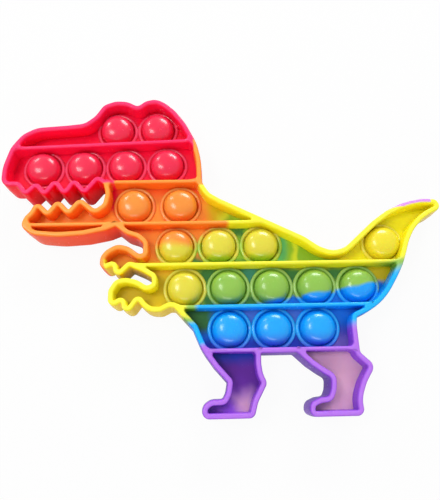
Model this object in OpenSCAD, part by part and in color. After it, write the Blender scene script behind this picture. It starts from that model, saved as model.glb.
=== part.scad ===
/* [Body] */
// Length from the snout to the tip of the tail
toy_l = 207; // [200:1:280]
// Height of the outer wall
wall_h = 15; // [13:0.5:22]
// Thickness of the outer wall
wall_t = 2.8; // [2:0.1:2.8]
// Rounding of the rims of the outer wall
rim_r = 0.9; // [0.3:0.1:0.9]

/* [Web] */
// Thickness of the sheet that carries the bubbles
web_t = 1.4; // [0.8:0.1:3]
// Height of the middle of that sheet
web_z = 7.3; // [5:0.1:9]

/* [Ribs] */
// Thickness of the ribs between the rows
rib_t = 2; // [1.2:0.1:3]
// Drop of the ribs' edges below the rims of the wall
rib_drop = 0.5; // [0.1:0.1:2]
// Rounding of the ribs' edges
rib_r = 0.7; // [0.2:0.1:0.8]

/* [Bubbles] */
// Distance between neighbouring bubbles of a row
bubble_pitch = 20; // [18:0.5:24]
// Outside diameter of the ring bead round a bubble
ring_d = 19.8; // [18.5:0.1:19.8]
// Width of the ring bead
ring_w = 1.6; // [1:0.1:2]
// Height of the ring bead above and below the web
ring_h = 0.8; // [0.4:0.1:1.5]
// Outside diameter of a dome where it leaves the web
dome_d = 16; // [12:0.1:16.2]
// Height of a dome above the web
dome_h = 6; // [3:0.1:6.2]
// Wall of a dome
dome_t = 1; // [0.6:0.1:1.5]

/* [Hidden] */
$fn = 48;
max_step = 30;
straight = 8;
flatness = 0.1;

// Middle of the outer wall as corners [x, y, rounding], seen from above, in mm from
// the lower left: head, back, tail, hind leg, front leg, hands, lower jaw, upper jaw.
OUTLINE = [
    [1.3, 109.1, 3], [1.4, 117.5, 20], [4.3, 127.5, 12], [9.2, 134.2, 9],
    [15.5, 137.5, 12], [30, 138.6, 40], [38.6, 139.6, 9], [43.9, 143.9, 12],
    [47.8, 149.9, 4.5], [53, 151.9, 8], [58.5, 151.6, 8], [63.9, 148.6, 3.5],
    [68.2, 151.9, 5], [72.6, 152.9, 6], [76.6, 150.9, 10], [81.4, 146.7, 20],
    [86.4, 139.8, 20], [91.6, 129.2, 25], [93.5, 120.5, 30],
    [93.8, 108.4, 8], [97.6, 102.2, 9], [103.5, 98.7, 20], [141.5, 79.6, 20],
    [148.2, 74.6, 16], [154.8, 72.2, 14], [161.3, 73.9, 12],
    [166, 78.1, 30], [175.5, 86.8, 40], [183, 92.3, 30], [191, 95.8, 30],
    [199.5, 97.6, 20], [205.5, 97.2, 1.6], [206.6, 94.4, 1.6],
    [201.5, 91.9, 20], [197.2, 88.9, 20], [193, 84.2, 20], [189.8, 78.6, 30],
    [188, 73.2, 30], [185.6, 66.8, 40], [182.3, 61, 40], [178.2, 54.5, 30],
    [174.1, 49.9, 30], [168.7, 46.1, 30],
    [162.1, 43.2, 2.4], [161.5, 39, 20], [161.9, 26.2, 4], [167.7, 20.7, 2.5],
    [163.6, 14.2, 20], [161.6, 9, 12], [161, 5.4, 20], [161.6, 1.1, 1.8],
    [140.4, 1.1, 1.8], [140.8, 5.1, 2.5], [144.3, 6.7, 3], [148.6, 7.2, 3],
    [150.3, 11, 8], [150.8, 16.6, 3.5], [146.5, 19.3, 10], [142, 22.6, 12],
    [135.9, 28.4, 2.5],
    [118.5, 28.4, 2], [118.3, 22.5, 12], [118.9, 18, 12], [120.5, 14.4, 2.2],
    [116.4, 6.9, 12], [114.8, 1.1, 1.8],
    [94.8, 1.1, 1.8], [95, 5, 3], [98, 6.7, 3], [103.2, 6.8, 2.5],
    [105.1, 10, 8], [106, 15.3, 2.4], [100, 22.2, 30], [95.2, 29.1, 25],
    [92.4, 35.7, 25], [91, 39.4, 4],
    [82.2, 49.3, 2.5], [79.5, 49.5, 3], [75.5, 47.4, 4], [71, 47.7, 5],
    [68.3, 49.9, 8], [65.7, 53.3, 1.6], [60.5, 46, 1.6], [58.8, 52.8, 1.5],
    [53.5, 49.4, 1.6], [53.5, 56.2, 3], [56, 60.4, 4], [60, 61.1, 6],
    [64.5, 60.1, 8], [69.3, 57.1, 3], [73, 58.4, 2.2], [72.8, 63, 2.5],
    [68, 65.9, 8], [61.5, 68.9, 2], [55.9, 63.2, 1.6], [54.8, 69.4, 1.6],
    [49.2, 67.2, 1.6], [49.4, 71.8, 4], [51.4, 74.5, 5], [56, 77.1, 5],
    [60.5, 75.9, 6], [65.3, 72.2, 3], [68.8, 72.7, 2], [68.7, 79, 3],
    [65.2, 82.3, 6], [60.1, 84, 6], [55, 88.2, 2],
    [50, 86.1, 10], [40, 84.1, 20], [28, 83.3, 30], [17, 84.4, 8],
    [12.2, 88.1, 2.4], [13.5, 91.6, 4], [15.9, 94.3, 5],
    [17.9, 98.6, 1.6], [23.1, 93.2, 1.8], [27.4, 99.4, 1.6], [32.6, 93.8, 1.8],
    [37.7, 100.2, 2], [44.8, 94, 3], [49.5, 97.6, 4], [50.8, 103.5, 10],
    [49.4, 109, 2], [45.4, 111.6, 1.8], [39.5, 104.2, 1.6], [34.4, 110.3, 1.6],
    [30.3, 103.7, 1.6], [25.6, 110.2, 1.6], [21, 103.6, 1.6], [16.7, 108.7, 1.6],
    [12, 103.8, 1.6], [8.4, 109.1, 3]
];

// Rows of bubbles as [x, y of the first, how many, spare room between two, rise of each, colour]
ROWS = [
    [53.2, 139.6, 2, 0, 0.4, "crimson"], [17.8, 119.1, 4, 0, 0.4, "crimson"],
    [62.4, 99, 2, 2, 0, "darkorange"], [82.3, 78.4, 3, 0, 0, "gold"],
    [180.2, 78.4, 1, 0, 0, "gold"], [86.4, 57.9, 5, 0, 0, "yellowgreen"],
    [106.5, 38.6, 3, 0, 0, "dodgerblue"]
];

// Straight ribs as [y, x from, x to, colour]; each is cut off in the middle of the wall
RIBS = [
    [109.6, 48, 96, "orange"], [88.5, 8, 124, "orange"], [68.3, 58, 190, "yellow"],
    [48.4, 80, 178, "deepskyblue"], [28.5, 90, 166, "mediumpurple"]
];

// The rib across the head, as corners like those of the wall
HEAD_RIB = [[0, 127.4, 0], [44, 130.9, 150], [96, 131.3, 0]];

function unit(v) = v / norm(v);
function left(v) = [-v.y, v.x];
function plane(p) = [p.x, p.y];

// Points of the round at corner b on the way from a to c, as large as both edges allow
function round_at(a, b, c) =
    let(
        back = unit(plane(a) - plane(b)),
        ahead = unit(plane(c) - plane(b)),
        half = acos(back * ahead) / 2,
        room = 0.49 * min(norm(plane(a) - plane(b)), norm(plane(c) - plane(b))),
        reach = min(b.z / tan(half), room),
        r = reach * tan(half),
        center = plane(b) + unit(back + ahead) * r / sin(half),
        side = sign(back.x * ahead.y - back.y * ahead.x),
        turn = 180 - 2 * half,
        step = min(max_step, 2 * acos(1 - flatness / max(r, flatness))),
        steps = max(1, ceil(turn / step)),
        start = plane(b) + back * reach - center
    )
    turn < straight ? [plane(b)] : [for (i = [0:steps]) center + turned(start, -side * turn * i / steps)];

function turned(v, angle) =
    [v.x * cos(angle) - v.y * sin(angle), v.x * sin(angle) + v.y * cos(angle)];

function loop_of(corners) =
    let(n = len(corners))
    [for (i = [0:n - 1]) each round_at(corners[(i + n - 1) % n], corners[i], corners[(i + 1) % n])];

wall_line = loop_of(OUTLINE);
xs = [for (p = wall_line) p.x];
ys = [for (p = wall_line) p.y];
stretch = (toy_l - wall_t) / (max(xs) - min(xs));
middle = [(max(xs) + min(xs)) / 2, (max(ys) + min(ys)) / 2];

// From the outline's own millimetres to the part's frame
function placed(p) = (plane(p) - middle) * stretch;

// Section of a wall or rib with rounded rims, as [across, height]
function section(thick, low, high, round) =
    let(
        side = thick / 2 - round,
        arc = function(x, z, from) [for (a = [0:45:90])
            [x + round * cos(from + a), z + round * sin(from + a)]]
    )
    concat(
        arc(side, high - round, 0), arc(-side, high - round, 90),
        arc(-side, low + round, 180), arc(side, low + round, 270)
    );

// Sideways direction at each point of a line, longer at bends so that the wall keeps its thickness
function miters(line, closed) =
    let(n = len(line))
    [for (i = [0:n - 1])
        let(
            before = closed || i > 0 ? line[i] - line[(i + n - 1) % n] : line[1] - line[0],
            after = closed || i < n - 1 ? line[(i + 1) % n] - line[i] : line[n - 1] - line[n - 2],
            mean = unit(unit(before) + unit(after))
        )
        left(mean) / (mean * unit(after))];

// A wall of the given section along a line
module sweep(line, shape, closed) {
    n = len(line);
    k = len(shape);
    sideways = miters(line, closed);
    points = [for (i = [0:n - 1], s = shape)
        let(p = line[i] + sideways[i] * s.x)
        [p.x, p.y, s.y]];
    skin = [for (i = [0:n - (closed ? 1 : 2)], j = [0:k - 1])
        [i * k + j, (i + 1) % n * k + j, (i + 1) % n * k + (j + 1) % k, i * k + (j + 1) % k]];
    ends = closed ? [] : [[for (j = [0:k - 1]) j], [for (j = [0:k - 1]) n * k - 1 - j]];
    polyhedron(points, concat(skin, ends), convexity = 12);
}

module outer_wall()
    color("gold") sweep([for (p = wall_line) placed(p)], section(wall_t, 0, wall_h, rim_r), true);

// Everything inside the middle of the wall
module inside()
    linear_extrude(wall_h)
        polygon([for (p = wall_line) placed(p)]);

rib_section = section(rib_t, rib_drop, wall_h - rib_drop, rib_r);

module ribs() {
    intersection() {
        inside();
        union() {
            for (rib = RIBS)
                color(rib[3])
                    sweep([placed([rib[1], rib[0]]), placed([rib[2], rib[0]])], rib_section, false);
            color("crimson") sweep([for (p = head_rib_line) placed(p)], rib_section, false);
        }
    }
}

head_rib_line = concat(
    [plane(HEAD_RIB[0])], round_at(HEAD_RIB[0], HEAD_RIB[1], HEAD_RIB[2]), [plane(HEAD_RIB[2])]
);

module web()
    color("olivedrab") translate([0, 0, web_z - web_t / 2])
        linear_extrude(web_t)
            polygon([for (p = wall_line) placed(p)]);

// Puts its children at the middle of every bubble, in the colour of the row
module at_bubbles()
    for (row = ROWS, i = [0:row[2] - 1])
        translate(concat(placed([row[0], row[1]]) + i * [bubble_pitch + row[3], row[4]], [web_z]))
            color(row[5]) children();

dome_r = (pow(dome_d / 2, 2) + pow(dome_h, 2)) / (2 * dome_h);
dome_low = web_t / 2 + dome_h - dome_r;

// The dome's outer ball, cut off inside the web
module dome_skin()
    intersection() {
        translate([0, 0, dome_low])
            sphere(dome_r);
        cylinder(h = 2 * dome_r, r = dome_r);
    }

module dome_hollow()
    translate([0, 0, dome_low])
        sphere(dome_r - dome_t);

module ring_bead()
    rotate_extrude()
        translate([(ring_d - ring_w) / 2, 0])
            union() {
                square([ring_w, web_t + 2 * ring_h - ring_w], center = true);
                for (up = [-1, 1])
                    translate([0, up * (web_t / 2 + ring_h - ring_w / 2)])
                        circle(d = ring_w);
            }

module popper() {
    outer_wall();
    ribs();
    difference() {
        union() {
            web();
            at_bubbles() ring_bead();
            at_bubbles() dome_skin();
        }
        at_bubbles() dome_hollow();
    }
}

popper();
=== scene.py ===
import math

import bmesh
import bpy
from mathutils import Matrix, Vector
from mathutils.kdtree import KDTree


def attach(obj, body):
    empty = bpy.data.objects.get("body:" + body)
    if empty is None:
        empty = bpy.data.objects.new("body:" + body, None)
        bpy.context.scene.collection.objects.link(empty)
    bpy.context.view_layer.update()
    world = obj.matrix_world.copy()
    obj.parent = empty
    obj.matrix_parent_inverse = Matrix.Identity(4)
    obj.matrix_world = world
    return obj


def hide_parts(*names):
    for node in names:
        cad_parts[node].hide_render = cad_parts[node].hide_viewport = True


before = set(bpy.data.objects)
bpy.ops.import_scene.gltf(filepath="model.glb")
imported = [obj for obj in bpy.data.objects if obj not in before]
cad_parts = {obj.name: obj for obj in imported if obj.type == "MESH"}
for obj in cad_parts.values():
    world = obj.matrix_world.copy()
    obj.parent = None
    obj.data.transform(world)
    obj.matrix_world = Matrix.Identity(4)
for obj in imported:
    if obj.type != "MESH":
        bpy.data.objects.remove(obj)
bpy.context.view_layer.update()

# Outer wall and ribs. The toy's upright edges: one soft silicone wall that follows the outline,
# and thinner ribs across it that part the rows of bubbles. They are moulded in one shot, with
# round rims, a little draft towards both rims, and small rounds where a rib leaves the wall.
OUTLINE = [  # middle of the wall as corners (x, y, rounding), in mm from the lower left
    (1.3, 109.1, 3), (1.4, 117.5, 20), (4.3, 127.5, 12), (9.2, 134.2, 9),
    (15.5, 137.5, 12), (30, 138.6, 40), (38.6, 139.6, 9), (43.9, 143.9, 12),
    (47.8, 149.9, 4.5), (53, 151.9, 8), (58.5, 151.6, 8), (63.9, 148.6, 3.5),
    (68.2, 151.9, 5), (72.6, 152.9, 6), (76.6, 150.9, 10), (81.4, 146.7, 20),
    (86.4, 139.8, 20), (91.6, 129.2, 25), (93.5, 120.5, 30),
    (93.8, 108.4, 8), (97.6, 102.2, 9), (103.5, 98.7, 20), (141.5, 79.6, 20),
    (148.2, 74.6, 16), (154.8, 72.2, 14), (161.3, 73.9, 12),
    (166, 78.1, 30), (175.5, 86.8, 40), (183, 92.3, 30), (191, 95.8, 30),
    (199.5, 97.6, 20), (205.5, 97.2, 1.6), (206.6, 94.4, 1.6),
    (201.5, 91.9, 20), (197.2, 88.9, 20), (193, 84.2, 20), (189.8, 78.6, 30),
    (188, 73.2, 30), (185.6, 66.8, 40), (182.3, 61, 40), (178.2, 54.5, 30),
    (174.1, 49.9, 30), (168.7, 46.1, 30),
    (162.1, 43.2, 2.4), (161.5, 39, 20), (161.9, 26.2, 4), (167.7, 20.7, 2.5),
    (163.6, 14.2, 20), (161.6, 9, 12), (161, 5.4, 20), (161.6, 1.1, 1.8),
    (140.4, 1.1, 1.8), (140.8, 5.1, 2.5), (144.3, 6.7, 3), (148.6, 7.2, 3),
    (150.3, 11, 8), (150.8, 16.6, 3.5), (146.5, 19.3, 10), (142, 22.6, 12),
    (135.9, 28.4, 2.5),
    (118.5, 28.4, 2), (118.3, 22.5, 12), (118.9, 18, 12), (120.5, 14.4, 2.2),
    (116.4, 6.9, 12), (114.8, 1.1, 1.8),
    (94.8, 1.1, 1.8), (95, 5, 3), (98, 6.7, 3), (103.2, 6.8, 2.5),
    (105.1, 10, 8), (106, 15.3, 2.4), (100, 22.2, 30), (95.2, 29.1, 25),
    (92.4, 35.7, 25), (91, 39.4, 4),
    (82.2, 49.3, 2.5), (79.5, 49.5, 3), (75.5, 47.4, 4), (71, 47.7, 5),
    (68.3, 49.9, 8), (65.7, 53.3, 1.6), (60.5, 46, 1.6), (58.8, 52.8, 1.5),
    (53.5, 49.4, 1.6), (53.5, 56.2, 3), (56, 60.4, 4), (60, 61.1, 6),
    (64.5, 60.1, 8), (69.3, 57.1, 3), (73, 58.4, 2.2), (72.8, 63, 2.5),
    (68, 65.9, 8), (61.5, 68.9, 2), (55.9, 63.2, 1.6), (54.8, 69.4, 1.6),
    (49.2, 67.2, 1.6), (49.4, 71.8, 4), (51.4, 74.5, 5), (56, 77.1, 5),
    (60.5, 75.9, 6), (65.3, 72.2, 3), (68.8, 72.7, 2), (68.7, 79, 3),
    (65.2, 82.3, 6), (60.1, 84, 6), (55, 88.2, 2),
    (50, 86.1, 10), (40, 84.1, 20), (28, 83.3, 30), (17, 84.4, 8),
    (12.2, 88.1, 2.4), (13.5, 91.6, 4), (15.9, 94.3, 5),
    (17.9, 98.6, 1.6), (23.1, 93.2, 1.8), (27.4, 99.4, 1.6), (32.6, 93.8, 1.8),
    (37.7, 100.2, 2), (44.8, 94, 3), (49.5, 97.6, 4), (50.8, 103.5, 10),
    (49.4, 109, 2), (45.4, 111.6, 1.8), (39.5, 104.2, 1.6), (34.4, 110.3, 1.6),
    (30.3, 103.7, 1.6), (25.6, 110.2, 1.6), (21, 103.6, 1.6), (16.7, 108.7, 1.6),
    (12, 103.8, 1.6), (8.4, 109.1, 3),
]
HEAD_RIB = [(0, 127.4), (44, 130.9), (96, 131.3)]  # its ends and the bend between them
RIBS = [  # y, x from, x to
    (109.6, 48, 96), (88.5, 8, 124), (68.3, 58, 190), (48.4, 80, 178), (28.75, 90, 166),
]
WALL_T = 2.9
RIB_T = 2.2
WALL_H = 15.0
DRAFT = 0.22  # how much a wall narrows on each side towards a rim
RIM_W = 0.82  # how far the round of a rim reaches inwards
RIM_H = 1.3  # and downwards
RIM_STEPS = 7
RIB_DROP = 0.55  # how much lower a rib's rim lies than the wall's
RIB_EASE = 2.5  # length of the slope from the wall's rim down to a rib's
LINE_STEP = 0.3  # between points along the wall, from which a rib's drop is measured
CORNER_ROUND = 0.9  # reach of the round where a rib meets the wall
EDGE_STEP = 0.9  # length that the edges of a cell are cut to for it
LEAST_EDGE = 1.0  # a shorter one stays whole
ROUND_PASSES = 10
ROUND_PULL = 1.5  # how strongly a point is drawn to the middle of its neighbours
LEAST_TURN = 8  # degrees, a flatter corner of the outline needs no round
EDGE_SHARE = 0.49  # of an edge that the round at one of its ends may take
WIDE_ROUND = 10  # mm, a round from here on gets its points closer together
ROUND_STEP, WIDE_STEP = 12, 5  # degrees from point to point
CELL, WALL, RIB = 0, 1, 2  # what a face on the plan is
LEAST_CELL = 3.0  # square mm, what is smaller is filled
RIM_PAINTED_LIGHT = 0.72  # painted light: the dye is made paler along the thin rims
# Painted shade on the walls' sides: the inner faces a little darker, the outer faces much darker.
INNER_PAINTED_SHADE = 1.15
OUTER_PAINTED_SHADE = 1.7
MIDDLE = Vector((103.748, 76.815, 0))
PLAN_SCALE = 0.997  # brings the outline's millimetres to the toy's true length
MM = 0.001
ON_PLAN = Matrix.Diagonal((PLAN_SCALE * MM, PLAN_SCALE * MM, MM, 1)) @ Matrix.Translation(-MIDDLE)


def round_at(before, corner, after, radius):
    """Points of the round at a corner, as large as its two edges allow."""
    back, ahead = before - corner, after - corner
    half = back.angle(ahead) / 2
    turn = math.pi - 2 * half
    if math.degrees(turn) < LEAST_TURN:
        return [corner]
    reach = min(radius / math.tan(half), EDGE_SHARE * back.length, EDGE_SHARE * ahead.length)
    radius = reach * math.tan(half)
    start = corner + back.normalized() * reach
    inwards = (back.normalized() + ahead.normalized()).normalized()
    centre = corner + inwards * radius / math.sin(half)
    steps = max(2, math.ceil(math.degrees(turn) / (ROUND_STEP if radius < WIDE_ROUND else WIDE_STEP)))
    side = 1 if back.cross(ahead).z < 0 else -1
    return [
        centre + Matrix.Rotation(side * turn * i / steps, 3, "Z") @ (start - centre)
        for i in range(steps + 1)
    ]


def outline_plate(bm):
    """One flat face inside the middle of the wall, its corners rounded."""
    points = [Vector((x, y, 0)) for x, y, _ in OUTLINE]
    before, after = points[-1:] + points[:-1], points[1:] + points[:1]
    line = []
    for last, corner, following, (_, _, radius) in zip(before, points, after, OUTLINE):
        line += round_at(last, corner, following, radius)
    face = bm.faces.new([bm.verts.new(p) for p in reversed(line)])
    bm.normal_update()
    return face


def cut_inside(bm, kind, point, normal):
    """Cuts the faces inside the wall along a line, and gives the edges of the cut."""
    faces = [f for f in bm.faces if f[kind] == CELL]
    geom = list({e for f in faces for e in f.edges} | {v for f in faces for v in f.verts}) + faces
    cut = bmesh.ops.bisect_plane(bm, geom=geom, dist=1e-4, plane_co=point, plane_no=normal)
    return [e for e in cut["geom_cut"] if isinstance(e, bmesh.types.BMEdge)]


def middle_of(edge):
    return (edge.verts[0].co + edge.verts[1].co) / 2


def lay_rib(bm, kind, start, end):
    """Parts the plan along both sides of a rib, and marks what lies between them."""
    start, end = Vector((*start, 0)), Vector((*end, 0))
    along = (end - start).normalized()
    across = Vector((-along.y, along.x, 0))
    length = (end - start).length
    for side in (-1, 1):
        cut = cut_inside(bm, kind, start + across * side * RIB_T / 2, across)
        beyond = [e for e in cut if not 0 < (middle_of(e) - start).dot(along) < length]
        bmesh.ops.dissolve_edges(bm, edges=beyond, use_verts=True)
    for face in bm.faces:
        place = face.calc_center_median() - start
        between_sides = abs(place.dot(across)) < RIB_T / 2 and 0 < place.dot(along) < length
        if face[kind] == CELL and between_sides:
            face[kind] = RIB


def tree_of(points):
    """Search tree that gives the nearest of the points."""
    tree = KDTree(len(points))
    for i, point in enumerate(points):
        tree.insert(point, i)
    tree.balance()
    return tree


def points_along(line, step):
    """Points on a closed line that are no further apart than a step."""
    points = []
    for start, end in zip(line, line[1:] + line[:1]):
        cuts = math.ceil((end - start).length / step)
        points += [start.lerp(end, k / cuts) for k in range(cuts)]
    return points


def round_cells(bm, kind):
    """Rounds the corners where a rib leaves the wall."""
    edges = [
        e for e in bm.edges
        if e.calc_length() > LEAST_EDGE and any(f[kind] == CELL for f in e.link_faces)
        and any(f[kind] != CELL for f in e.link_faces)
    ]
    for edge in edges:
        cuts = math.ceil(edge.calc_length() / EDGE_STEP) - 1
        bmesh.ops.subdivide_edges(bm, edges=[edge], cuts=cuts)
    corners = tree_of([
        v.co.copy() for v in bm.verts
        if {f[kind] for f in v.link_faces} == {CELL, WALL, RIB}
    ])
    near = {v: corners.find(v.co)[2] for v in bm.verts}
    for _ in range(ROUND_PASSES):
        moved = {}
        for cell in (f for f in bm.faces if f[kind] == CELL):
            for loop in cell.loops:
                vert = loop.vert
                reach = 1 - near[vert] / CORNER_ROUND
                if reach > 0:
                    mean = (loop.link_loop_prev.vert.co + loop.link_loop_next.vert.co) / 2
                    moved[vert] = vert.co.lerp(mean, min(1, ROUND_PULL * reach))
        for vert, place in moved.items():
            vert.co = place


# The plan of the wall and the ribs, flat and in millimetres, with a hole for each cell.
plan = bmesh.new()
kind = plan.faces.layers.int.new("kind")
plate = outline_plate(plan)
wall_line = [v.co.copy() for v in plate.verts]
skirt = bmesh.ops.inset_region(
    plan, faces=[plate], thickness=-WALL_T / 2, use_even_offset=True, use_boundary=True
)
bmesh.ops.delete(plan, geom=skirt["faces"], context="FACES")
band = bmesh.ops.inset_region(
    plan, faces=[plate], thickness=WALL_T, use_even_offset=True, use_boundary=True
)
depth = plan.verts.layers.float.new("depth")  # painted light and shade, as a gamma on the dye: 1 leaves it as poured, less paints it paler, more darker
# Painted shade: the outer faces of the wall get the darkest dye, the inner faces a little darker.
for face in band["faces"]:
    face[kind] = WALL
    for vert in face.verts:
        vert[depth] = OUTER_PAINTED_SHADE
for vert in plate.verts:
    vert[depth] = INNER_PAINTED_SHADE
for y, x_from, x_to in RIBS:
    lay_rib(plan, kind, (x_from, y), (x_to, y))
# The head's rib is laid in two straight halves that meet at a cut, which is closed again after.
bend_x = HEAD_RIB[1][0]
cut_inside(plan, kind, Vector((bend_x, 0, 0)), Vector((1, 0, 0)))
for start, end in zip(HEAD_RIB, HEAD_RIB[1:]):
    lay_rib(plan, kind, start, end)
bmesh.ops.remove_doubles(plan, verts=plan.verts, dist=0.005)
bend = [
    e for e in plan.edges
    if abs(middle_of(e).x - bend_x) < 0.01 and abs(e.verts[0].co.x - e.verts[1].co.x) < 0.02
    and len({f[kind] for f in e.link_faces}) == 1 and all(f[kind] != WALL for f in e.link_faces)
]
bmesh.ops.dissolve_edges(plan, edges=bend, use_verts=True)
for cell in plan.faces:
    if cell[kind] == CELL and cell.calc_area() < LEAST_CELL:
        cell[kind] = RIB
round_cells(plan, kind)
bmesh.ops.delete(plan, geom=[f for f in plan.faces if f[kind] == CELL], context="FACES")

# The plan is raised to the upper half of the walls, its ribs are lowered, and it is mirrored.
walls = plan
rims = walls.faces[:]
walls.normal_update()
bmesh.ops.inset_region(
    walls, faces=rims, thickness=DRAFT, depth=WALL_H / 2 - RIM_H,
    use_even_offset=True, use_boundary=True,
)
for i in range(RIM_STEPS):
    low, high = (math.radians(90 * k / RIM_STEPS) for k in (i, i + 1))
    bmesh.ops.inset_region(
        walls, faces=rims, thickness=RIM_W * (math.cos(low) - math.cos(high)),
        depth=RIM_H * (math.sin(high) - math.sin(low)), use_even_offset=True, use_boundary=True,
    )
bmesh.ops.triangulate(walls, faces=[f for f in rims if len(f.verts) > 4])
along_wall = tree_of(points_along(wall_line, LINE_STEP))
for vert in walls.verts:
    # Painted light: a wall's dye is made paler towards its rims.
    below_rim = min(1, (WALL_H / 2 - vert.co.z) / RIM_H)
    vert[depth] = RIM_PAINTED_LIGHT + (vert[depth] - RIM_PAINTED_LIGHT) * below_rim
    away = along_wall.find(Vector((vert.co.x, vert.co.y, 0)))[2] - WALL_T / 2
    ease = min(1, max(0, away / RIB_EASE))
    vert.co.z -= RIB_DROP * ease * ease * (3 - 2 * ease) * (vert.co.z / (WALL_H / 2))
top_half = walls.verts[:] + walls.edges[:] + walls.faces[:]
bmesh.ops.mirror(walls, geom=top_half, axis="Z", merge_dist=1e-4)
bmesh.ops.translate(walls, verts=walls.verts, vec=(0, 0, WALL_H / 2))
bmesh.ops.recalc_face_normals(walls, faces=walls.faces)
bmesh.ops.transform(walls, matrix=ON_PLAN, verts=walls.verts)


def add_piece(name, bm, material, sharp):
    """Makes a finished piece from its bmesh, smooth but for edges sharper than so many degrees."""
    mesh = bpy.data.meshes.new(name)
    bm.to_mesh(mesh)
    bm.free()
    mesh.materials.append(material)
    mesh.shade_smooth()
    mesh.set_sharp_from_angle(angle=math.radians(sharp))
    piece = bpy.data.objects.new(name, mesh)
    bpy.context.collection.objects.link(piece)
    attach(piece, "root")
    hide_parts("popper")


def dye(red, green, blue):
    """A dye from its screen colour, 0 to 255, as the linear light that shaders take."""
    shares = (red / 255, green / 255, blue / 255)
    return [c / 12.92 if c < 0.04045 else ((c + 0.055) / 1.055) ** 2.4 for c in shares]


PINK = dye(250, 30, 82)
ORANGE = dye(252, 134, 42)
YELLOW = dye(247, 237, 40)
GREEN = dye(125, 178, 62)
BLUE = dye(15, 158, 246)
VIOLET = dye(158, 86, 222)
LILAC = dye(200, 118, 222)


def reckon(tree, kind, operation, *sources):
    """Output of a math node, its inputs linked to sockets or set to values."""
    node = tree.nodes.new(kind)
    node.operation = operation
    for socket, source in zip(node.inputs, sources):
        if isinstance(source, bpy.types.NodeSocket):
            tree.links.new(source, socket)
        else:
            socket.default_value = source
    is_number = kind == "ShaderNodeMath" or operation == "LENGTH"
    return node.outputs["Value" if is_number else "Vector"]


def ranged(tree, value, low, high, new_low, new_high):
    """Node that carries a value over from one range to another."""
    node = tree.nodes.new("ShaderNodeMapRange")
    node.inputs["From Min"].default_value = low
    node.inputs["From Max"].default_value = high
    node.inputs["To Min"].default_value = new_low
    node.inputs["To Max"].default_value = new_high
    tree.links.new(value, node.inputs["Value"])
    return node


def noise(tree, place, scale, detail):
    """Node with a noise pattern over the plan, by its number of patterns per mm."""
    node = tree.nodes.new("ShaderNodeTexNoise")
    node.inputs["Scale"].default_value = scale
    node.inputs["Detail"].default_value = detail
    tree.links.new(place, node.inputs["Vector"])
    return node


def pour_group():
    """Node group that pours a dye over the colour below it, inside a box that may be turned."""
    group = bpy.data.node_groups.new("pour", "ShaderNodeTree")
    for name, kind_of in (
        ("Place", "NodeSocketVector"), ("Below", "NodeSocketColor"), ("Dye", "NodeSocketColor"),
        ("Centre", "NodeSocketVector"), ("Half", "NodeSocketVector"), ("Turn", "NodeSocketFloat"),
        ("Edge", "NodeSocketFloat"),
    ):
        group.interface.new_socket(name, in_out="INPUT", socket_type=kind_of)
    group.interface.new_socket("Colour", in_out="OUTPUT", socket_type="NodeSocketColor")
    given = group.nodes.new("NodeGroupInput").outputs
    turned = group.nodes.new("ShaderNodeVectorRotate")
    turned.rotation_type = "Z_AXIS"
    for socket, source in (("Vector", "Place"), ("Center", "Centre"), ("Angle", "Turn")):
        group.links.new(given[source], turned.inputs[socket])
    # How far a place lies outside the box, less than nothing inside it.
    vector, number = "ShaderNodeVectorMath", "ShaderNodeMath"
    away = reckon(group, vector, "SUBTRACT", turned.outputs[0], given["Centre"])
    past = reckon(group, vector, "SUBTRACT", reckon(group, vector, "ABSOLUTE", away), given["Half"])
    outside = reckon(group, vector, "MAXIMUM", past, (0, 0, 0))
    beyond = reckon(group, vector, "LENGTH", reckon(group, vector, "MULTIPLY", outside, (1, 1, 0)))
    axes = group.nodes.new("ShaderNodeSeparateXYZ")
    group.links.new(past, axes.inputs[0])
    most = reckon(group, number, "MAXIMUM", axes.outputs["X"], axes.outputs["Y"])
    within = reckon(group, number, "MINIMUM", most, 0)
    reach = reckon(group, number, "ADD", beyond, within)
    fade = ranged(group, reckon(group, number, "DIVIDE", reach, given["Edge"]), -0.5, 0.5, 1, 0)
    fade.interpolation_type = "SMOOTHSTEP"
    mix = group.nodes.new("ShaderNodeMix")
    mix.data_type = "RGBA"
    group.links.new(fade.outputs["Result"], mix.inputs["Factor"])
    group.links.new(given["Below"], mix.inputs["A"])
    group.links.new(given["Dye"], mix.inputs["B"])
    end = group.nodes.new("NodeGroupOutput")
    group.links.new(mix.outputs["Result"], end.inputs["Colour"])
    return group


pour = pour_group()

OUTER_SHADE_TINT = (1, 0.82, 0.85)  # painted shade: what the outer faces keep of red, green and blue
SWIRL = 0.12  # patterns per mm
MARKS = 0.6
MARKS_FROM, MARKS_TO = 0.3, 0.7  # part of the noise over which the gloss changes
WAVES = 0.25
WAVE_H = 0.3 * MM
ROUGH_LEAST, ROUGH_MOST = 0.18, 0.28
SILICONE_IOR = 1.41
LIGHT_TAKEN_IN = 0.3  # share of the light that goes into the silicone and comes out again nearby
LIGHT_REACH = 2 * MM


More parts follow.
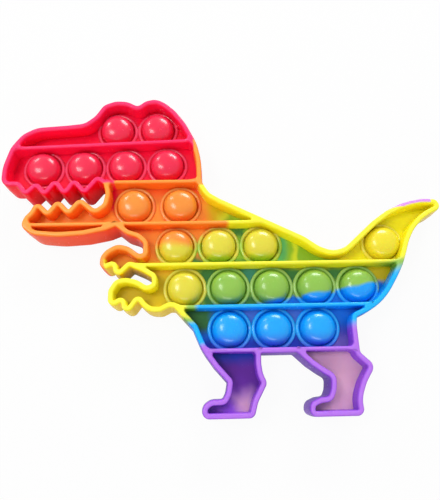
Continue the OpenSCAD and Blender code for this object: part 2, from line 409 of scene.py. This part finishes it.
def silicone(name, base, pours, stray, wavy, shine):
    """Soft silicone with dyes that run into each other.

    Each pour is a dye, its box on the plan as x from, x to, y from and y to, its turn in degrees,
    and the width of its soft edge, and the last one lies on top. The edge of a dye strays by so
    many mm, wavy is how uneven the mould has left the skin, and shine how strongly it reflects.
    """
    material = bpy.data.materials.new(name)
    material.use_nodes = True
    tree = material.node_tree
    nodes, links = tree.nodes, tree.links
    skin = nodes["Principled BSDF"]
    plan_mm = nodes.new("ShaderNodeMapping")
    plan_mm.inputs["Scale"].default_value = (1 / (PLAN_SCALE * MM), 1 / (PLAN_SCALE * MM), 1 / MM)
    plan_mm.inputs["Location"].default_value = MIDDLE
    links.new(nodes.new("ShaderNodeTexCoord").outputs["Object"], plan_mm.inputs["Vector"])
    place = plan_mm.outputs[0]
    vector = "ShaderNodeVectorMath"
    swirl = noise(tree, place, SWIRL, 1).outputs["Color"]
    least, spread = (-stray, -stray, 0), (2 * stray, 2 * stray, 0)
    run = reckon(tree, vector, "ADD", place, reckon(tree, vector, "MULTIPLY_ADD", swirl, spread, least))
    colour = None
    for dye_colour, x_from, x_to, y_from, y_to, turn, edge in pours:
        step = nodes.new("ShaderNodeGroup")
        step.node_tree = pour
        links.new(run, step.inputs["Place"])
        if colour is None:
            step.inputs["Below"].default_value = (*base, 1)
        else:
            links.new(colour, step.inputs["Below"])
        step.inputs["Dye"].default_value = (*dye_colour, 1)
        step.inputs["Centre"].default_value = ((x_from + x_to) / 2, (y_from + y_to) / 2, 0)
        step.inputs["Half"].default_value = ((x_to - x_from) / 2, (y_to - y_from) / 2, 0)
        step.inputs["Turn"].default_value = math.radians(-turn)
        step.inputs["Edge"].default_value = edge
        colour = step.outputs["Colour"]
    # Painted light and shade: the dyes are made paler on the rims and beads, darker on the wall's
    # sides, and darkest and warmer on its outer faces.
    painted_light_at = nodes.new("ShaderNodeAttribute")
    painted_light_at.attribute_name = "depth"
    lit_or_shaded = nodes.new("ShaderNodeGamma")
    links.new(colour, lit_or_shaded.inputs["Color"])
    links.new(painted_light_at.outputs["Fac"], lit_or_shaded.inputs["Gamma"])
    outer = ranged(tree, painted_light_at.outputs["Fac"], INNER_PAINTED_SHADE, OUTER_PAINTED_SHADE, 0, 1)
    shade_tint_mix = nodes.new("ShaderNodeMix")
    shade_tint_mix.data_type = "RGBA"
    shade_tint_mix.blend_type = "MULTIPLY"
    shade_tint_mix.inputs["B"].default_value = (*OUTER_SHADE_TINT, 1)
    links.new(outer.outputs["Result"], shade_tint_mix.inputs["Factor"])
    links.new(lit_or_shaded.outputs[0], shade_tint_mix.inputs["A"])
    links.new(shade_tint_mix.outputs["Result"], skin.inputs["Base Color"])
    # Faint handling marks in the gloss, and the soft unevenness of the mould.
    marks = noise(tree, place, MARKS, 4).outputs["Fac"]
    gloss = ranged(tree, marks, MARKS_FROM, MARKS_TO, ROUGH_LEAST, ROUGH_MOST)
    links.new(gloss.outputs["Result"], skin.inputs["Roughness"])
    bump = nodes.new("ShaderNodeBump")
    bump.inputs["Strength"].default_value = wavy
    bump.inputs["Distance"].default_value = WAVE_H
    links.new(noise(tree, place, WAVES, 1).outputs["Fac"], bump.inputs["Height"])
    links.new(bump.outputs[0], skin.inputs["Normal"])
    skin.inputs["IOR"].default_value = SILICONE_IOR
    skin.inputs["Specular IOR Level"].default_value = shine
    skin.inputs["Subsurface Weight"].default_value = LIGHT_TAKEN_IN
    skin.inputs["Subsurface Radius"].default_value = (1, 0.6, 0.5)
    skin.inputs["Subsurface Scale"].default_value = LIGHT_REACH
    return material


wall_dyes = [  # dye, x from, x to, y from, y to, turn, edge
    (ORANGE, -10, 105, 70.8, 112, 0, 1.2),
    (ORANGE, 42, 50.3, 62, 73, 8, 1.5),
    (YELLOW, 92.4, 125, 90, 107.4, 0, 1.5),
    (ORANGE, 84, 101, 108.6, 133.5, -4, 1),
    (PINK, -10, 91, 110, 140, 0, 1),
    (PINK, -10, 110, 131.5, 170, 0, 1),
    (PINK, -10, 47, 101.3, 112, 0, 1.2),
    (ORANGE, 55, 92.6, 106, 111.4, 0, 3),
    (PINK, 40, 53.5, 108.4, 112, 0, 1.5),
    (ORANGE, 80, 106.5, 86, 91, 0, 3),
    (GREEN, 140, 200, 25.5, 65.5, 12, 4),
    (BLUE, 140, 200, 30, 61, 12, 5),
    (GREEN, 87, 100, 44.5, 52, 0, 3),
    (GREEN, 82, 100, 30, 43.5, 0, 2.5),
    (BLUE, 91.5, 177, 44.5, 52, 0, 3),
    (BLUE, 82, 100, 25, 41, 0, 2.5),
    (VIOLET, 80, 175, -10, 30.8, 0, 3),
    (VIOLET, 155, 175, -10, 39, 0, 5),
    (LILAC, 178, 190.5, 94.1, 98.6, 13, 0.8),
    (LILAC, 189.9, 203.2, 96.4, 100.5, 6, 0.8),
]
wall_silicone = silicone("wall_silicone", YELLOW, wall_dyes, stray=1.2, wavy=0.12, shine=0.28)
add_piece("walls", walls, wall_silicone, sharp=35)

# Web. The thin sheet of silicone halfway up the wall that closes every cell and carries the
# bubbles. It is moulded together with the wall and has an opening under each bubble.
WEB_T = 1.4
WEB_Z = 7.3  # height of its middle
HOLE_R = 9.0  # the open round under a bubble, its edge lies inside the bead
PITCH = 20
BUBBLE_SIDES = 64
ROWS = [  # x and y of the first bubble, how many, spare room between two, rise of each
    (53.2, 139.6, 2, 0, 0.4), (17.8, 119.1, 4, 0, 0.4), (62.4, 99, 2, 2, 0),
    (82.3, 78.4, 3, 0, 0), (180.2, 78.4, 1, 0, 0), (86.4, 57.9, 5, 0, 0), (106.5, 38.6, 3, 0, 0),
]
bubbles_at = [  # middles on the plan, worked out from the rows
    Vector((x + i * (PITCH + spare) / PLAN_SCALE, y + i * rise / PLAN_SCALE, 0))
    for x, y, count, spare, rise in ROWS for i in range(count)
]
web = bmesh.new()
rim = [web.verts.new(p) for p in wall_line]
for i, vert in enumerate(rim):
    web.edges.new((rim[i - 1], vert))
for place in bubbles_at:
    at_place = Matrix.Translation(place)
    bmesh.ops.create_circle(web, segments=BUBBLE_SIDES, radius=HOLE_R, matrix=at_place)
bmesh.ops.triangle_fill(web, use_beauty=True, use_dissolve=False, edges=web.edges)
bmesh.ops.recalc_face_normals(web, faces=web.faces)
bmesh.ops.solidify(web, geom=web.faces[:], thickness=WEB_T)
bmesh.ops.recalc_face_normals(web, faces=web.faces)
web_low = min(v.co.z for v in web.verts)
bmesh.ops.translate(web, verts=web.verts, vec=(0, 0, WEB_Z - WEB_T / 2 - web_low))
bmesh.ops.transform(web, matrix=ON_PLAN, verts=web.verts)
depth = web.verts.layers.float.new("depth")
for vert in web.verts:
    vert[depth] = 1
RED = dye(244, 16, 62)
EMBER = dye(244, 98, 40)
AMBER = dye(255, 150, 56)
OLIVE = dye(214, 186, 22)
LIME = dye(215, 226, 50)
LEAF = dye(145, 192, 48)
FIR = dye(62, 122, 62)
TEAL = dye(62, 140, 118)
SEA = dye(8, 115, 212)
NAVY = dye(30, 58, 172)
SLATE = dye(72, 116, 200)
PLUM = dye(104, 44, 155)
MINT = dye(98, 186, 112)
HONEY = dye(232, 168, 40)
SUN = dye(255, 240, 24)
MAUVE = dye(226, 174, 200)
DUSK = dye(112, 96, 178)
web_dyes = [
    (AMBER, -10, 98, 70, 109.6, 0, 7),
    (EMBER, 48, 100, 103.5, 112, 0, 8),
    (EMBER, 56, 84, 86.5, 90, 0, 4),
    (HONEY, 40, 92, 66, 72, 0, 7),
    (RED, 44, 54, 97, 112, 0, 5),
    (RED, -10, 110, 109.6, 170, 0, 1.5),
    (RED, -10, 46, 99, 112, 0, 2),
    (LIME, 102, 116, 80, 100, -28, 5),
    (LEAF, 106, 118, 86, 92, -28, 4),
    (LEAF, 101, 160, 69, 90, 0, 5),
    (MINT, 131, 134.5, 70, 85, 0, 3),
    (LIME, 137, 139.5, 66, 86, -6, 2),
    (FIR, 89, 96, 67, 73.5, 0, 4),
    (FIR, 108.5, 116, 66, 72, 0, 4),
    (FIR, 109, 115, 84, 88, 0, 4),
    (SUN, 160, 215, 68.3, 110, 0, 5),
    (LEAF, 92, 172, 48.4, 67.5, 0, 8),
    (FIR, 93, 172, 60, 67.5, 0, 4),
    (TEAL, 114, 120, 60, 68, 0, 5),
    (FIR, 94, 130, 48.4, 55, 0, 4),
    (SEA, 129, 190, 40, 57, 6, 3),
    (SEA, 80, 170, 28.9, 48.4, 0, 1.5),
    (SLATE, 112, 143, 42, 48.4, 0, 4),
    (FIR, 78, 99, 38, 50, 0, 7),
    (NAVY, 120, 175, 20, 38, 6, 8),
    (NAVY, 92, 122, 28.9, 34, 0, 5),
    (PLUM, 90, 124, -5, 28.9, 0, 1),
    (NAVY, 90, 124, 24.5, 32, 0, 7),
    (VIOLET, 92, 124, -8, 10, -8, 12),
    (MAUVE, 109, 117, 0, 10, 20, 9),
    (DUSK, 150, 170, 20, 36, 6, 9),
    (MAUVE, 132, 172, -5, 28.9, 0, 1),
]
web_silicone = silicone("web_silicone", OLIVE, web_dyes, stray=2.5, wavy=0.12, shine=0.35)
add_piece("web", web, web_silicone, sharp=35)

# Bubbles. Thin hollow domes for the fingertip, each with a soft hinge groove round its foot and a
# ring bead round that. They are part of the same casting and stand on the web's open rounds.
RING_R = 9.25  # middle of the bead
BEAD_R = 0.95
BEAD_UP = 1.0  # height of its top above the web
DOME_R = 8.0
DOME_H = 6.2
DOME_T = 1.0
DOME_FLAT = 0.8  # 1 is a plain ellipse, less is flatter on top
BEAD_PAINTED_LIGHT = 0.75  # painted light: the beads' dye is made paler than the domes'
bubbles = bmesh.new()


def dome_curve(radius, foot, crown, steps):
    """Half section of a dome from its crown to its foot."""
    turns = (math.pi / 2 * i / steps for i in range(steps + 1))
    return [
        (radius * math.sin(a) ** DOME_FLAT,
         foot + (crown - foot) * max(0, math.cos(a)) ** DOME_FLAT)
        for a in turns
    ]


def bead_curve(middle, turns):
    """Section of the bead through the given turns in degrees."""
    return [
        (RING_R + BEAD_R * math.cos(a), middle + BEAD_R * math.sin(a)) for a in map(math.radians, turns)
    ]


def dome_profile():
    """Half section of a bubble: down the outside, round the bead and back up inside."""
    web_top = WEB_T / 2
    points = dome_curve(DOME_R, web_top, web_top + DOME_H, steps=16)
    bead_mid = web_top + BEAD_UP - BEAD_R
    points += bead_curve(bead_mid, range(200, -1, -20))
    points += bead_curve(-bead_mid, range(0, -201, -20))
    inside = dome_curve(DOME_R - DOME_T, -web_top, web_top + DOME_H - DOME_T, steps=12)
    points += reversed(inside)
    return points


depth = bubbles.verts.layers.float.new("depth")
half = [bubbles.verts.new((r, 0, z)) for r, z in dome_profile()]
# Painted light: the bead and what lies outside it get a paler dye.
for vert in half:
    vert[depth] = BEAD_PAINTED_LIGHT if vert.co.x > RING_R - BEAD_R / 2 else 1
chain = half + [bubbles.edges.new(pair) for pair in zip(half, half[1:])]
bmesh.ops.spin(
    bubbles, geom=chain, cent=(0, 0, 0), axis=(0, 0, 1), angle=2 * math.pi,
    steps=BUBBLE_SIDES, use_merge=True,
)
bmesh.ops.remove_doubles(bubbles, verts=bubbles.verts, dist=1e-3)
first_verts = bubbles.verts[:]
first = first_verts + bubbles.edges[:] + bubbles.faces[:]
for place in bubbles_at:
    copy = bmesh.ops.duplicate(bubbles, geom=first)["geom"]
    copied = [v for v in copy if isinstance(v, bmesh.types.BMVert)]
    bmesh.ops.translate(bubbles, verts=copied, vec=place)
bmesh.ops.delete(bubbles, geom=first_verts, context="VERTS")
bmesh.ops.recalc_face_normals(bubbles, faces=bubbles.faces)
bmesh.ops.translate(bubbles, verts=bubbles.verts, vec=(0, 0, WEB_Z))
bmesh.ops.transform(bubbles, matrix=ON_PLAN, verts=bubbles.verts)
ROSE = dye(236, 36, 76)
APRICOT = dye(244, 145, 54)
STRAW = dye(222, 211, 62)
HUSK = dye(236, 220, 48)
MEADOW = dye(142, 190, 78)
SKY = dye(18, 165, 246)
COBALT = dye(60, 105, 228)
bubble_dyes = [
    (ROSE, -10, 110, 109.6, 170, 0, 0.5),
    (ROSE, -10, 47, 104, 112, 0, 0.5),
    (APRICOT, 50, 110, 88.5, 109.6, 0, 0.5),
    (EMBER, 50, 53.6, 88.5, 109.6, 0, 2),
    (EMBER, 71.2, 75.2, 88.5, 109.6, 0, 2),
    (EMBER, 93, 97, 88.5, 109.6, 0, 2),
    (LEAF, 91, 94, 68.3, 80, 0, 3),
    (LEAF, 111.3, 114, 68.3, 88.5, 0, 3),
    (LEAF, 130.4, 134, 68.3, 88.5, 0, 3),
    (LEAF, 94, 140, 66, 72.5, 0, 4),
    (APRICOT, 68, 91, 78.5, 94, -4, 5),
    (APRICOT, 91, 99, 85, 94, -30, 4),
    (HUSK, 168, 192, 68.3, 92, 0, 0.5),
    (MEADOW, 96.5, 177, 48.4, 68.3, 0, 0.5),
    (TEAL, 98, 137, 44, 50.5, 0, 6),
    (BLUE, 121, 136, 44, 51.5, 8, 2.5),
    (BLUE, 136.5, 158, 44, 54, 5, 2),
    (BLUE, 156.7, 177, 44, 57.5, 7, 2),
    (SKY, 90, 160, 28.9, 48.4, 0, 0.5),
    (COBALT, 90, 160, 24, 33, 0, 9),
]
bubble_silicone = silicone("bubble_silicone", STRAW, bubble_dyes, stray=1.2, wavy=0.08, shine=0.8)
add_piece("bubbles", bubbles, bubble_silicone, sharp=60)

# Floor. A wide sheet of matt white paper that the toy lies flat on. It takes the toy's faint
# shadow, and it looks nearly white to the camera.
FLOOR_HALF = 3  # metres
FLOOR_GREY = 0.7
WHITE_SHARE = {"Is Camera Ray": 0.94, "Is Glossy Ray": 0.15, "Is Transmission Ray": 0.94}
floor_bm = bmesh.new()
bmesh.ops.create_grid(floor_bm, x_segments=1, y_segments=1, size=FLOOR_HALF)
floor_mesh = bpy.data.meshes.new("floor")
floor_bm.to_mesh(floor_mesh)
floor_bm.free()
floor = bpy.data.objects.new("floor", floor_mesh)
bpy.context.collection.objects.link(floor)
paper = bpy.data.materials.new("paper")
paper.use_nodes = True
nodes, links = paper.node_tree.nodes, paper.node_tree.links
matt = nodes["Principled BSDF"]
matt.inputs["Base Color"].default_value = (FLOOR_GREY, FLOOR_GREY, FLOOR_GREY, 1)
matt.inputs["Roughness"].default_value = 0.9
ray = nodes.new("ShaderNodeLightPath")
share = 0
for ray_kind, whiteness in WHITE_SHARE.items():
    share = reckon(
        paper.node_tree, "ShaderNodeMath", "MULTIPLY_ADD", ray.outputs[ray_kind], whiteness, share
    )
mix = nodes.new("ShaderNodeMixShader")
links.new(share, mix.inputs[0])
links.new(matt.outputs[0], mix.inputs[1])
links.new(nodes.new("ShaderNodeEmission").outputs[0], mix.inputs[2])
links.new(mix.outputs[0], nodes["Material Output"].inputs["Surface"])
floor_mesh.materials.append(paper)

# Light and camera. Four soft boxes in a white studio, the strongest beyond the toy's back, and a
# camera above the toy that looks down from a little to the foot side, matched to the photo.
scene = bpy.context.scene
world = bpy.data.worlds.new("studio")
world.use_nodes = True
background = world.node_tree.nodes["Background"]
background.inputs["Color"].default_value = (1, 1, 1, 1)
background.inputs["Strength"].default_value = 0.52
scene.world = world


def softbox(name, place, size, watts):
    """Rectangular lamp of the given size in metres that is aimed at the toy."""
    lamp = bpy.data.lights.new(name, "AREA")
    lamp.shape = "RECTANGLE"
    lamp.size, lamp.size_y = size
    lamp.energy = watts
    box = bpy.data.objects.new(name, lamp)
    box.location = place
    box.rotation_euler = (-Vector(place)).to_track_quat("-Z", "Y").to_euler()
    bpy.context.collection.objects.link(box)


softbox("key", place=(0.2, 0.66, 0.37), size=(0.36, 0.2), watts=3.3)
softbox("top", place=(-0.48, 0.13, 0.81), size=(0.3, 0.3), watts=2.6)
softbox("side", place=(-0.45, 0.55, 0.4), size=(0.12, 0.12), watts=0.8)
softbox("front", place=(-0.1, -0.7, 0.4), size=(0.6, 0.3), watts=2.0)

camera_data = bpy.data.cameras.new("camera")
camera_data.sensor_width = 36
camera_data.lens = 31.23
camera_data.shift_x = 0.0049
camera_data.shift_y = 0.0872
camera = bpy.data.objects.new("camera", camera_data)
camera.rotation_mode = "ZXY"
camera.rotation_euler = (0.22689, -0.02171, -0.022645)
camera.location = (-0.00658, -0.06625, 0.2032)
bpy.context.collection.objects.link(camera)
scene.camera = camera
scene.view_settings.view_transform = "Standard"
